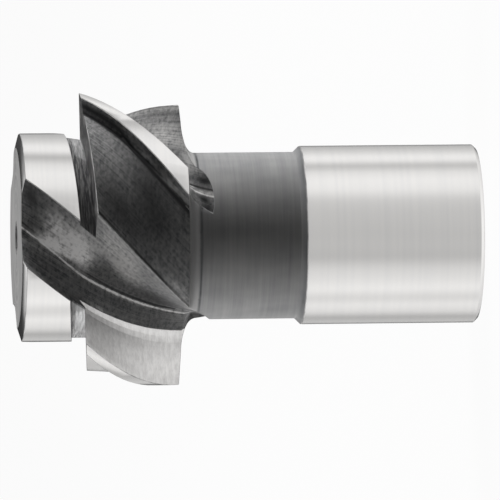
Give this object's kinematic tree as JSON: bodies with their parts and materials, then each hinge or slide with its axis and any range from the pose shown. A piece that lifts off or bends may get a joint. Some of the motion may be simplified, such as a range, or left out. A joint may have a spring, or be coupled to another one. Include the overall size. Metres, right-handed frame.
{
  "type": "counterbore",
  "caption": "Solid steel counterbore with a helical-fluted cutting head, a fixed pilot, a dark necked body and a plain ground shank.",
  "frame": {"origin": "centre of the shank's end face, on which the tool stands", "axes": "+Z along the tool's axis from the shank to the pilot's tip; +X lies 15 degrees ahead of one cutting lip, the way the tool turns"},
  "size_m": [0.0197, 0.0197, 0.031],
  "materials": {
    "tool_steel": "ground bright on the shank, pilot, margins and rake faces, black oxide in the flutes, on the tooth backs and on the neck"
  },
  "bodies": {
    "root": {"counterbore": "tool_steel"}
  },
  "joints": []
}
